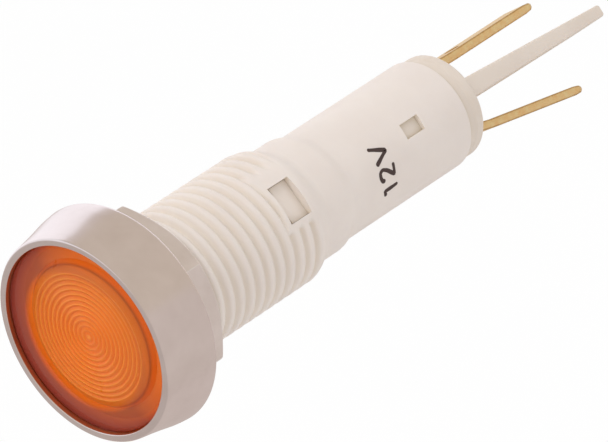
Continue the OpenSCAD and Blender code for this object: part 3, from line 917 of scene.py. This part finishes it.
@dataclass
class Housing:
    """The threaded barrel, collar and rear tube, in one moulding."""

    crest_r: float = 6.3
    valley: float = 0.46
    collar_r: float = 5.5
    tube_r: float = 5.14
    bore_r: float = 4.3
    pitch: float = 1.27
    first_crest: float = 4.88
    thread_end: float = 17.75
    runout_end: float = 19.9
    collar_end: float = 22.25
    tube_start: float = 23.7
    end: float = 38.7
    mouth_r: float = 7.94
    seat_r: float = 8.86
    columns: int = 184
    tuck: float = 0.09
    pad_front: Pair = (14.25, 14.7)
    pad_fade: Pair = (-46.0, -30.0)
    pad_edge: Pair = (18.5, 21.5)
    windows: Tuple[Window, Window] = (Window(14.85, 2.55, 3.6, -3.0, 6.3),
                                      Window(31.31, 2.28, 1.43, 2.0, 5.14))

    def turns(self) -> Array:
        """Angles evenly spaced, with the nearest one moved to each window edge.

        Returns:
            The columns' angles, radians.
        """
        turn = np.arange(self.columns) * CIRCLE / self.columns
        for window in self.windows:
            for edge in window.sides(0.0) + window.sides(math.pi):
                turn[nearest(turn, edge)] = edge
        return turn

    def rows(self) -> Array:
        """Places along the axis, with the nearest one moved to each window edge.

        Returns:
            The rows' places, mm.
        """
        y = np.concatenate([
            np.arange(-0.95, self.runout_end + 0.4, self.pitch / 16),
            [20.6, 21.4, 22.0, 22.25, 22.45, 22.7, 22.95, 23.2, 23.45, 23.7, 24.1, 25.0, 26.5,
             28.0, 29.5], np.arange(30.4, 34.4, 0.25), [35.5, 37.0, 38.0, 38.28]])
        for window in self.windows:
            for edge in window.ends:
                y[nearest(y, edge)] = edge
        return y

    def pad(self, y: Array, turn: Array) -> Array:
        """The smooth pad round the carrier window, the same on both sides.

        A product of smooth steps: along the axis it starts just before the
        window; round the axis it ends sharply on one side and fades on the
        other.

        Args:
            y: places along the axis.
            turn: angles, radians.

        Returns:
            How far the grooves are filled there, 0 to 1.
        """
        degrees = (np.degrees(turn) + 90) % 180 - 90
        along = smoothstep(*self.pad_front, y + 0.012 * np.abs(degrees + 3))
        return along * smoothstep(*self.pad_fade, degrees) * (
            1 - smoothstep(*self.pad_edge, degrees))

    def radius(self, y: Array, turn: Array) -> Array:
        """Outside radius over the whole length.

        The thread is the crest radius less the valley times (1 - h)^2, with
        h = (1 + cos(2 pi phase)) / 2 and a phase that grows by one for each
        pitch along the axis and falls by one for each turn. At its end the
        crests run out to the collar, which tapers to the tube.

        Args:
            y: places along the axis.
            turn: angles, radians.

        Returns:
            The radius there, mm.
        """
        phase = (y - self.first_crest) / self.pitch - turn / CIRCLE
        height = 0.5 + 0.5 * np.cos(CIRCLE * phase)
        groove = self.valley * (1 - height) ** 2
        groove = groove * (1 - self.pad(y, turn)) * smoothstep(-0.9, 0.3, y)
        groove = groove * (1 - smoothstep(self.thread_end - 0.2, self.thread_end + 0.6, y))
        out = self.crest_r - (self.crest_r - self.collar_r) * smoothstep(
            self.thread_end - 0.1, self.runout_end, y)
        out = out - (self.collar_r - self.tube_r) * smoothstep(
            self.collar_end - 0.1, self.tube_start, y)
        return out - groove

    def bore(self, y: Array, turn: Array) -> Array:
        """The bore's rows of points, bent and tucked in at the windows.

        Args:
            y: places along the axis, from the rear.
            turn: the outside's column angles.

        Returns:
            Rows of points.
        """
        bent = np.broadcast_to(turn, (len(y), len(turn))).copy()
        tuck = np.zeros(len(y))
        for window in self.windows:
            bent[window.spans(y)] = self.parallel(turn, window)
            for end, sign in zip(window.ends, (1, -1)):
                tuck[np.abs(y - end) < NEAR] = sign * self.tuck
        return around(self.bore_r, (y + tuck)[:, None], bent)

    def parallel(self, turn: Array, window: Window) -> Array:
        """Column angles on the bore that keep a window's sides nearly parallel.

        In the window each is the arc sine of sin(local) times a share that
        brings its edge to the arc sine of its half width, less the tuck, over
        the bore's radius. Beyond it they are spread evenly.

        Args:
            turn: the outside's column angles.
            window: the window.

        Returns:
            The bore's column angles.
        """
        middle = math.radians(window.turn)
        local = (turn - middle + math.pi / 2) % math.pi - math.pi / 2
        half, quarter = window.half, math.pi / 2
        wide = math.asin((window.width / 2 - self.tuck) / self.bore_r)
        inner = np.arcsin(np.clip(math.sin(wide) / math.sin(half) * np.sin(local), -1, 1))
        beyond = np.sign(local) * (wide + (np.abs(local) - half) * (quarter - wide)
                                   / (quarter - half))
        return turn + np.where(np.abs(local) <= half + NEAR, inner, beyond) - local

    def body(self) -> Surface:
        """Outside, rounded rear edge, bore and front flange.

        Returns:
            The closed shell.
        """
        y, turn = self.rows(), self.turns()
        outer = around(self.radius(y[:, None], turn), y[:, None], turn)
        edge = softened([(self.tube_r, 38.3), (self.tube_r, self.end, 0.38),
                         (self.bore_r, self.end, 0.12), (self.bore_r, 38.3)], 0.1, 6, False)
        sparse = [0.8, 4.0, 8.0, 12.0, 19.0, 24.0, 28.0, 36.0]
        inside = np.unique(np.concatenate([sparse] + [y[w.spans(y)] for w in self.windows]))[::-1]
        mouth = np.array([(self.bore_r, 0.4), (self.mouth_r, -2.52), (self.mouth_r, -3.1),
                          (self.seat_r, -3.1), (self.seat_r, -1.0), (self.crest_r, -1.0)])
        grid = Grid(np.concatenate([outer, around(edge[:, :1], edge[:, 1:], turn),
                                    self.bore(inside, turn),
                                    around(mouth[:, :1], mouth[:, 1:], turn)]))
        base = len(y) + len(edge)
        for window in self.windows:
            rows = tuple(nearest(y, end) for end in window.ends)
            back = tuple(base + nearest(inside, end) for end in window.ends)
            for side in (0.0, math.pi):
                first, last = (nearest(turn, edge) for edge in window.sides(side))
                columns = first, last if last > first else last + len(turn)
                grid.open_hole(rows, columns, back, columns)
        return grid.surface()

    def build(self) -> None:
        """Builds the moulding."""
        # The third colour is painted shade, warmer, in the thread's grooves and other deep
        # places.
        nylon = Moulding("natural_nylon", (235, 225, 218), (230, 219, 212), (228, 217, 198))
        self.body().build("housing_moulding", [nylon], 46, "nylon", "housing")


@dataclass
class VoltageMark:
    """The hand-stamped voltage on the tube: strokes of ink that follow its curve."""

    radius: float = 5.14
    width: float = 0.365
    lift: float = 0.012
    corner: float = 0.16
    step: float = 0.045
    strokes: Tuple[Tuple[Pair, ...], ...] = (
        ((-2.8, 26.84), (1.8, 27.73), (6.2, 28.6), (10.3, 27.8), (15.0, 26.92)),
        ((31.6, 27.36), (31.9, 27.04), (27.8, 26.9), (22.9, 26.98), (21.1, 27.35),
         (23.8, 27.83), (31.4, 28.56), (26.8, 28.64), (20.3, 28.74)),
        ((42.2, 28.77), (42.7, 27.91), (42.7, 27.2), (43.9, 26.97)),
        ((43.0, 27.14), (45.6, 27.16), (48.6, 27.26)))

    def stroke(self, path: Sequence[Pair]) -> Surface:
        """One stroke: a flat band along a smoothed path, bent round the tube.

        The path is unrolled to arc length, its corners are softened, and at
        each point the band's section, a thin closed box, lies across the
        path's direction. Its width narrows at both ends as a half circle.

        Args:
            path: points of (angle in degrees, y).

        Returns:
            The closed band.
        """
        flat = [(math.radians(turn) * self.radius, y) for turn, y in path]
        line = softened(flat, self.corner, 5, closed=False)
        place = np.concatenate([[0], np.cumsum(np.hypot(*np.diff(line, axis=0).T))])
        s = np.linspace(0, place[-1], max(8, int(place[-1] / self.step)))
        line = np.stack([np.interp(s, place, line[:, k]) for k in (0, 1)], 1)
        way = np.gradient(line, axis=0)
        way /= np.hypot(*way.T)[:, None]
        side = np.stack([-way[:, 1], way[:, 0]], 1)
        cap = np.clip(np.minimum(s, s[-1] - s) / (self.width * 0.42), 0.05, 1)
        half = self.width / 2 * np.sqrt(1 - (1 - cap) ** 2)
        half = half * (1 + 0.12 * np.sin(s * 3.1 + path[0][0]))
        across = np.array([-1.0, -0.9, 0.9, 1.0, 0.9, -0.9])
        height = np.array([0.0, 1.0, 1.0, 0.0, -1.0, -1.0]) * self.lift
        uv = line[:, None] + side[:, None] * (half[:, None] * across)[..., None]
        points = around(self.radius + height[None], uv[..., 1], uv[..., 0] / self.radius)
        return Grid(points, poles=True).surface()

    def build(self) -> None:
        """Builds all the strokes as one piece."""
        Surface.join([self.stroke(path) for path in self.strokes]).build(
            "voltage_mark", [Ink("marking_ink")], 60, "nylon")


@dataclass
class Nut:
    """The hexagon nut on the thread."""

    flats: float = 15.0
    thickness: float = 3.45
    bevel: float = 0.85
    bore_r: float = 6.35
    chamfer: float = 0.4
    corner: float = 0.22
    columns: int = 240

    def outline(self, turn: Array) -> Array:
        """A rounded hexagon.

        On a flat the radius is half the width over cos(a), a from the flat's
        middle. Near a corner it is d cos(b) + sqrt(c^2 - d^2 sin^2(b)), b from
        the corner, c its rounding, d the distance of the rounding's centre.

        Args:
            turn: angles, radians.

        Returns:
            The radius at each angle.
        """
        apothem, sixth = self.flats / 2, math.pi / 6
        b = (turn + sixth) % (2 * sixth) - sixth
        d = (apothem - self.corner) / math.cos(sixth)
        touch = sixth - math.atan2(d * math.sin(sixth), apothem)
        arc = d * np.cos(b) + np.sqrt(np.maximum(self.corner ** 2 - (d * np.sin(b)) ** 2, 0))
        return np.where(np.abs(b) < touch, arc, apothem / np.cos(sixth - np.abs(b)))

    def build(self) -> None:
        """The nut as rows of rings: chamfered bore, front face, flats, cone, rear face."""
        turn = np.arange(self.columns) * CIRCLE / self.columns
        edge = self.outline(turn)
        apothem, rear = self.flats / 2, self.thickness
        slope = self.bevel / (apothem / math.cos(math.pi / 6) - apothem)
        cone = rear - slope * (edge - apothem) - 0.03
        # The rear face's flat disc, and the mouth of the bore's chamfer.
        flat_r, mouth_r = apothem - 0.16, self.bore_r + self.chamfer
        rows = [(mouth_r, 0.0), (edge - 0.14, 0.0), (edge - 0.04, 0.04), (edge, 0.14),
                (edge, cone - 0.16), (edge - 0.03, cone - 0.04),
                (edge - 0.1, cone + 0.1 * slope - 0.02),
                (np.minimum(edge - 0.12, flat_r + 0.08), rear - 0.03), (flat_r, rear),
                (mouth_r, rear), (self.bore_r, rear - self.chamfer), (self.bore_r, self.chamfer)]
        # Painted highlight: the edges take a near-white colour and are less metallic, so they
        # show a light line between the flats.
        metal = Metal("plated_nut", (250, 243, 240), (236, 227, 222), (253, 251, 249),
                      rough=0.28, lines=0.05, metallic=0.84, edge=0.4, turned=False)
        Grid(np.stack([around(r, y, turn) for r, y in rows])).surface().build(
            "nut_hexagon", [metal], 24, "nut_metal", "mounting_nut", body=Body.NUT)


@dataclass
class RearCap:
    """The rear cap: flange, plug, skirt, snap teeth and the barrier."""

    cap_r: float = 4.9
    plug_r: float = 4.22
    skirt_r: float = 3.7
    front: float = 38.72
    back: float = 40.92
    disc_front: float = 37.4
    skirt_front: float = 30.5
    barrier_length: float = 19.08
    base: float = 1.95
    tip: float = 1.12
    height: float = 6.4
    drop: float = 1.0
    lean: float = 2.1
    foot: float = 0.22
    foot_reach: float = 0.16
    power: float = 0.14
    tooth: Window = Window(31.32, 2.26, 1.42, 2.0, 4.75)
    tooth_root: float = 3.8

    def turned_part(self) -> Surface:
        """Flange, plug and skirt, turned from one profile.

        Returns:
            The closed solid.
        """
        outline = softened([
            (AXIS_R, self.disc_front), (self.skirt_r, self.disc_front, 0.2),
            (self.skirt_r, self.skirt_front, 0.05), (self.plug_r, self.skirt_front, 0.1),
            (self.plug_r, self.front, 0.05), (self.cap_r - 0.12, self.front, 0.08),
            (self.cap_r - 0.1, 39.62, 0.1), (self.cap_r, 39.82, 0.1),
            (self.cap_r, self.back - 0.36, 0.14), (self.cap_r - 0.36, self.back, 0.14),
            (AXIS_R, self.back)], 0.08, 4, closed=False)
        return lathe(outline, 144, True)

    def barrier(self) -> Surface:
        """A plate whose section is a rounded oblong that shrinks towards the tip.

        At each station the half sizes are a straight blend from cap to tip,
        and the section is x = a c |c|^(p - 1), z = b n |n|^(p - 1), with c and n
        the cosine and sine of an angle and p the power. A foot swells it at
        the cap, and the plate leans about the cap's rear face.

        Returns:
            The closed plate.
        """
        s = np.concatenate([[-0.45, 0.0, 0.12, 0.3], np.linspace(0.8, 18.7, 14),
                            [18.98, 19.04, 19.07, self.barrier_length]])
        share = s / self.barrier_length
        foot = self.foot * np.exp(-np.clip(s, 0, None) / self.foot_reach)
        end = np.sqrt(np.clip((self.barrier_length - s) / 0.06, 0.7, 1))
        half_x = (self.base + (self.tip - self.base) * share) / 2 * end + foot
        half_z = (self.height - self.drop * share) / 2 - 0.12 * (1 - end) + foot
        a = np.linspace(0, CIRCLE, 48, endpoint=False)
        unit_x, unit_z = (np.sign(v) * np.abs(v) ** self.power
                          for v in (np.cos(a), np.sin(a)))
        x, z = half_x[:, None] * unit_x, half_z[:, None] * unit_z
        c, n = math.cos(math.radians(self.lean)), math.sin(math.radians(self.lean))
        points = np.stack([x * c + s[:, None] * n, s[:, None] * c - x * n + self.back, z], -1)
        return Grid(points, poles=True).surface()

    def snap(self, side: float) -> Surface:
        """A snap tooth: a ramp from the front that ends in a square catch.

        Args:
            side: the angle that its side of the cap starts at.

        Returns:
            The closed tooth.
        """
        spec, (front, rear) = self.tooth, self.tooth.ends
        r, y = np.array([(self.tooth_root, front), (self.plug_r, front),
                         (spec.radius, front + spec.length * 0.08), (spec.radius, rear),
                         (self.tooth_root, rear)]).T
        x = np.array([-0.5, -0.46, 0.46, 0.5]) * spec.width
        pull = np.array([0.01, 0.0, 0.0, 0.01])
        z = r - pull[:, None] * (r > self.tooth_root)
        points = np.stack(np.broadcast_arrays(x[:, None], y, z), -1)
        a = math.radians(spec.turn) + side
        turn = np.array([[math.cos(a), 0, math.sin(a)], [0, 1, 0],
                         [-math.sin(a), 0, math.cos(a)]])
        return Grid(points @ turn.T, poles=True).surface()

    def build(self) -> None:
        """Builds the cap as one piece."""
        # The third colour is painted shade in the cap's deep places, such as round the blade
        # roots.
        nylon = Moulding("cap_nylon_skin", (228, 216, 205), (222, 209, 197), (190, 176, 144),
                         rough=0.5)
        Surface.join([self.turned_part(), self.barrier(), self.snap(0.0),
                      self.snap(math.pi)]).build(
            "rear_cap_moulding", [nylon], 34, "cap_nylon", "rear_cap")


@dataclass
class Terminal:
    """A flat brass terminal: solder tail, shoulder, blade, bend and tip.

    Attributes:
        name: the piece's name.
        side: -1 or 1, the side of the axis that it stands on.
        bend: how far it leans outwards behind the cap, degrees.
        node: the CAD node that it replaces.
        twist: how far it turns about its own middle line, degrees.
        short: how much its tip stands back from the solid's, mm.
    """

    name: str
    side: int
    bend: float
    node: str
    twist: float
    short: float
    width: float = 2.8
    thickness: float = 0.8
    offset: float = 3.15
    tail_front: float = 31.4
    tail_width: float = 1.2
    shoulder: float = 37.48
    cap_back: float = 40.92
    length: float = 14.6
    bevel: float = 0.75
    hole_back: float = 10.3
    hole_r: float = 0.7
    bend_gap: float = 0.13
    taper: float = 1.15
    inset: float = 0.1
    across: int = 13
    near_columns: Pair = (2, 10)
    far_columns: Pair = (25, 17)

    @property
    def hole(self) -> float:
        """Place of the hole's centre from the tail's front, mm."""
        return self.cap_back + self.length - self.tail_front - self.hole_back

    def stations(self) -> Tuple[Array, Array, Array]:
        """Places along the blade with its width and thickness there.

        Returns:
            Distance from the tail's front, width and thickness, in mm.
        """
        end = self.cap_back + self.length - self.tail_front - self.short
        blade, hole = self.shoulder - self.tail_front, self.hole
        s = np.concatenate([
            [0, 0.06, 0.3, 3, blade - 0.02, blade + 0.02, blade + 0.1],
            np.linspace(blade + 0.6, hole - 1.2, 9),
            np.linspace(hole - self.hole_r, hole + self.hole_r, 9),
            np.linspace(hole + 1.2, end - self.bevel - 0.1, 14),
            end - self.bevel * np.array([1, 0.8, 0.6, 0.42, 0.28, 0.16, 0.07, 0.02, 0.0])])
        left = np.clip((end - s) / self.bevel, 0, 1)
        width = (np.where(s < blade, self.tail_width, self.width)
                 - 2 * self.bevel * (1 - left) ** 1.15 * 0.95)
        thickness = self.thickness * np.clip((end - s + 0.02) / self.taper, 0, 1) ** 0.65
        first = np.clip((s + 0.03) / 0.12, 0, 1)
        return s, width * (0.9 + 0.1 * first), thickness * (0.6 + 0.4 * first)

    def section(self) -> Tuple[Array, Array, Array]:
        """The straight blade: a rounded oblong at each station.

        Returns:
            x, y and z, a row a station: points on the broad faces, and two
            more on each slanted edge.
        """
        s, width, thickness = self.stations()
        face = np.ones(self.across)
        u = np.linspace(-1, 1, self.across)
        z = np.concatenate([u, [1.0, 1.0], u[::-1], [-1.0, -1.0]])
        x = np.concatenate([face, [0.7, -0.7], -face, [-0.7, 0.7]])
        inset = self.inset * np.concatenate([face, [0, 0], face, [0, 0]])
        half = np.maximum(width / 2, 0.06)[:, None]
        z = np.clip(z * np.maximum(half - inset, 0.02), -half, half)
        x = x * thickness[:, None] / 2
        return x, np.broadcast_to(s[:, None], x.shape).copy(), z

    def pierced(self, x: Array, y: Array, z: Array) -> Grid:
        """The blade with its detent hole, bent and twisted behind the cap.

        Cells round the hole are moved onto its circle and opened.

        Args:
            x: place across the blade's thickness, mm.
            y: place along it from the tail's front, mm.
            z: place across its width, mm.

        Returns:
            The grid, with its window.
        """
        rows = np.nonzero(np.abs(y[:, 0] - self.hole) <= self.hole_r + NEAR)[0]
        lo, hi = int(rows[0]), int(rows[-1])
        band = slice(lo, hi + 1)
        for (first, last), step in ((self.near_columns, 1), (self.far_columns, -1)):
            cols = list(range(first, last + step, step))
            dy, dz = y[band][:, cols] - self.hole, z[band][:, cols]
            size = np.maximum(np.abs(dy) / self.hole_r, np.abs(dz) / np.abs(dz).max())
            size = size * self.hole_r / (np.hypot(dy, dz) + 1e-9)
            y[band, cols] = self.hole + dy * size
            z[band, cols] = dz * size
        start = self.cap_back - self.tail_front + self.bend_gap
        lean = math.radians(self.bend) * self.side
        after = np.clip(y - start, 0, None)
        soft = smoothstep(-0.5, 0.5, y - start) * lean
        twist = math.radians(self.twist) * smoothstep(-1.0, 3.0, y - start)
        x, z = x * np.cos(twist) + z * np.sin(twist), z * np.cos(twist) - x * np.sin(twist)
        grid = Grid(np.stack([
            self.side * self.offset + after * math.sin(lean) + x * np.cos(soft),
            self.tail_front + np.minimum(y, start) + after * math.cos(lean) - x * np.sin(soft),
            z], -1), poles=True)
        grid.open_hole((lo, hi), self.near_columns, (lo, hi), self.far_columns)
        return grid

    def build(self) -> None:
        """Builds the blade; its slanted edge faces take a darker brass, painted shade for their
        dark outlines.
        """
        surface = self.pierced(*self.section()).surface()
        a, b, c, d = surface.corners()
        facing = np.abs(np.cross(c - a, d - b))
        facing /= np.linalg.norm(facing, axis=1, keepdims=True) + 1e-12
        surface.slots = ((facing[:, 0] > 0.35) & (facing[:, 2] > 0.35)).astype(int)
        kind = dict(metallic=0.75, edge=0.8, blotch=1500.0, turned=False)
        # Painted shade: the third colour darkens the rounded edges and the fourth the blade's
        # root at the cap.
        brass = Metal("brass_" + self.name, (253, 232, 176), (250, 208, 146), (150, 122, 76),
                      (104, 78, 40), rough=0.28, lines=0.16, **kind)
        edge_shade = Metal("burr_" + self.name, (234, 200, 142), (208, 166, 106), (140, 108, 62),
                     (96, 70, 36), rough=0.36, lines=0.1, **kind)
        surface.build(self.name, [brass, edge_shade], 40, "brass", self.node)


@dataclass
class Inside:
    """The working pieces in the housing: CAD nodes that only need their finishes."""

    # The third colour of each Moulding is painted shade in deep places; the Metals also paint
    # shade there by default.
    finishes: Tuple[Tuple[Finish, Tuple[str, ...]], ...] = (
        (Moulding("reflector_white", (244, 243, 238), (238, 236, 230), (214, 210, 200),
                  rough=0.3), ("reflector",)),
        (Moulding("carrier_nylon_skin", (236, 225, 216), (230, 218, 208), (202, 188, 170),
                  rough=0.5), ("lamp_carrier",)),
        (Moulding("seal_rubber_skin", (46, 43, 42), (56, 53, 51), (28, 26, 25),
                  rough=0.72, soft=0.0, grain=0.2), ("lens_seal",)),
        (Moulding("lamp_epoxy_body", (236, 158, 74), (228, 146, 62), (200, 112, 40),
                  rough=0.2, soft=0.4), ("led_body",)),
        (Moulding("sleeve_skin", (58, 58, 62), (68, 67, 70), (36, 36, 38),
                  rough=0.6, soft=0.0), ("anode_sleeve", "cathode_sleeve")),
        (Moulding("resistor_coat_skin", (204, 184, 146), (194, 172, 132), (150, 128, 94),
                  rough=0.45, soft=0.0, grain=0.12), ("resistor",)),
        (Metal("solder_bead_skin", (190, 190, 192), (160, 160, 164), (226, 226, 228),
               rough=0.28, lines=0.2, turned=False),
         ("lead_splice", "solder_left", "solder_right")),
        (Metal("tinned_copper", (206, 204, 200), (184, 182, 178), (238, 236, 232),
               rough=0.3, turned=False),
         ("led_anode_lead", "led_cathode_lead", "resistor_front_lead", "resistor_rear_lead")))

    def build(self) -> None:
        """Gives each inner node its material."""
        for finish, nodes in self.finishes:
            material = finish.material()
            for node in nodes:
                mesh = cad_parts[node].data
                mesh.materials.clear()
                mesh.materials.append(material)
                LOG.info("%s: finished as %s", node, finish.name)


# ---------------------------------------------------------------- studio


@dataclass
class Studio:
    """Camera, lamps, floor and world."""

    right: Triple = (0.55166, 0.65140, 0.52094)
    up: Triple = (-0.83408, 0.43083, 0.34454)
    back: Triple = (0.0, -0.62456, 0.78097)
    place: Triple = (1.784, -317.0, 422.7)
    middle: Triple = (0.0, 22.0, 0.0)
    focal: float = 378.95
    floor_z: float = -46.0
    floor_size: float = 2500.0
    floor_rows: int = 24
    ambient: float = 0.6
    mirrored: float = 0.555

    def camera(self) -> None:
        """A long lens whose columns are the right, up and back directions."""
        data = bpy.data.cameras.new("studio_camera")
        data.sensor_width = 36.0
        data.lens = self.focal
        data.clip_start, data.clip_end = 0.01, 10.0
        camera = link("studio_camera", data)
        turn = Matrix((self.right, self.up, self.back)).transposed().to_4x4()
        camera.matrix_world = Matrix.Translation(Vector(self.place) * MM) @ turn
        bpy.context.scene.camera = camera

    def lamp(self, name: str, side: float, rise: float, out: float, size: float,
             power: float) -> None:
        """A soft square lamp that mirrors don't show.

        Args:
            name: its name.
            side: metres from the object's middle to the camera's right.
            rise: metres up.
            out: metres towards the camera.
            size: its side, metres.
            power: watts.
        """
        data = bpy.data.lights.new(name, "AREA")
        data.shape, data.size, data.energy = "SQUARE", size, power
        lamp = link(name, data)
        lamp.visible_glossy = False
        way = Vector(self.right) * side + Vector(self.up) * rise + Vector(self.back) * out
        lamp.location = Vector(self.middle) * MM + way
        lamp.rotation_euler = way.to_track_quat("Z", "Y").to_euler()

    def floor(self) -> None:
        """A wide pale floor, slightly dished so that it isn't a lone flat sheet."""
        n = self.floor_rows
        x, y = np.meshgrid(np.linspace(-1, 1, n), np.linspace(-1, 1, n), indexing="ij")
        z = self.floor_z + 20.0 * np.clip(np.hypot(x, y) - 0.7, 0, None) ** 2
        points = np.stack([x * self.floor_size, y * self.floor_size, z], -1).reshape(-1, 3)
        first = (np.arange(n - 1)[:, None] * n + np.arange(n - 1)).reshape(-1, 1)
        mesh = bpy.data.meshes.new("studio_floor")
        mesh.from_pydata((points * MM).tolist(), [], (first + [0, n, n + 1, 1]).tolist())
        mesh.materials.append(Backdrop("pale_floor").material())
        mesh.shade_smooth()
        link("studio_floor", mesh)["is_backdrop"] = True

    def world(self) -> None:
        """An even world: soft light, and a slightly brighter, warm one in mirrors."""
        world = bpy.data.worlds.new("studio_world")
        world.use_nodes = True
        s = Shader(world.node_tree)
        plain = s.fill(s.tree.nodes["Background"],
                       {"Color": (1.0, 0.99, 0.975), "Strength": self.ambient})
        side = s.span(s.parts()[0], 0.17, 0.23)
        mirrored = s.add("Background", {
            "Color": s.mix(side, (1.0, 0.86, 0.735), (1.03, 0.9, 0.83)),
            "Strength": self.mirrored})
        white = s.add("Background", {"Color": (1.0,) * 3, "Strength": 1.0})
        s.fill(s.tree.nodes["World Output"], {"Surface": s.by_ray(
            plain.outputs[0], white.outputs[0], mirrored.outputs[0], 1.0)})
        bpy.context.scene.world = world
        bpy.context.scene.view_settings.view_transform = "Standard"

    def build(self) -> None:
        """Sets up everything round the object."""
        self.camera()
        self.lamp("key_lamp", -0.42, 0.42, 0.35, 0.36, 1.6)
        self.lamp("fill_lamp", 0.5, -0.25, 0.42, 0.7, 1.25)
        self.lamp("rear_lamp", 0.35, 0.45, -0.05, 0.6, 0.7)
        self.lamp("front_lamp", -0.4, -0.05, 0.6, 0.5, 0.5)
        self.floor()
        self.world()


def write_sizes() -> None:
    """Makes the CAD box and the finished box into plain lists, which are not kept."""
    def plain(box: object) -> List[List[float]]:
        """A box as two lists of numbers."""
        return [[float(v) for v in corner] for corner in box]
    {"cad": plain(CAD_BOX), "visual": plain(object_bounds())}


def main() -> None:
    """Builds the lamp's sub-assemblies, then the studio."""
    logging.basicConfig(level=logging.INFO, format="%(name)s: %(message)s")
    Front().build()
    Housing().build()
    VoltageMark().build()
    Nut().build()
    RearCap().build()
    Terminal("terminal_blade_left", -1, 0.0, "terminal_left", 6.0, 0.34).build()
    Terminal("terminal_blade_right", 1, 9.3, "terminal_right", 8.0, 0.55).build()
    Inside().build()
    Studio().build()
    write_sizes()


if __name__ == "__main__":
    main()
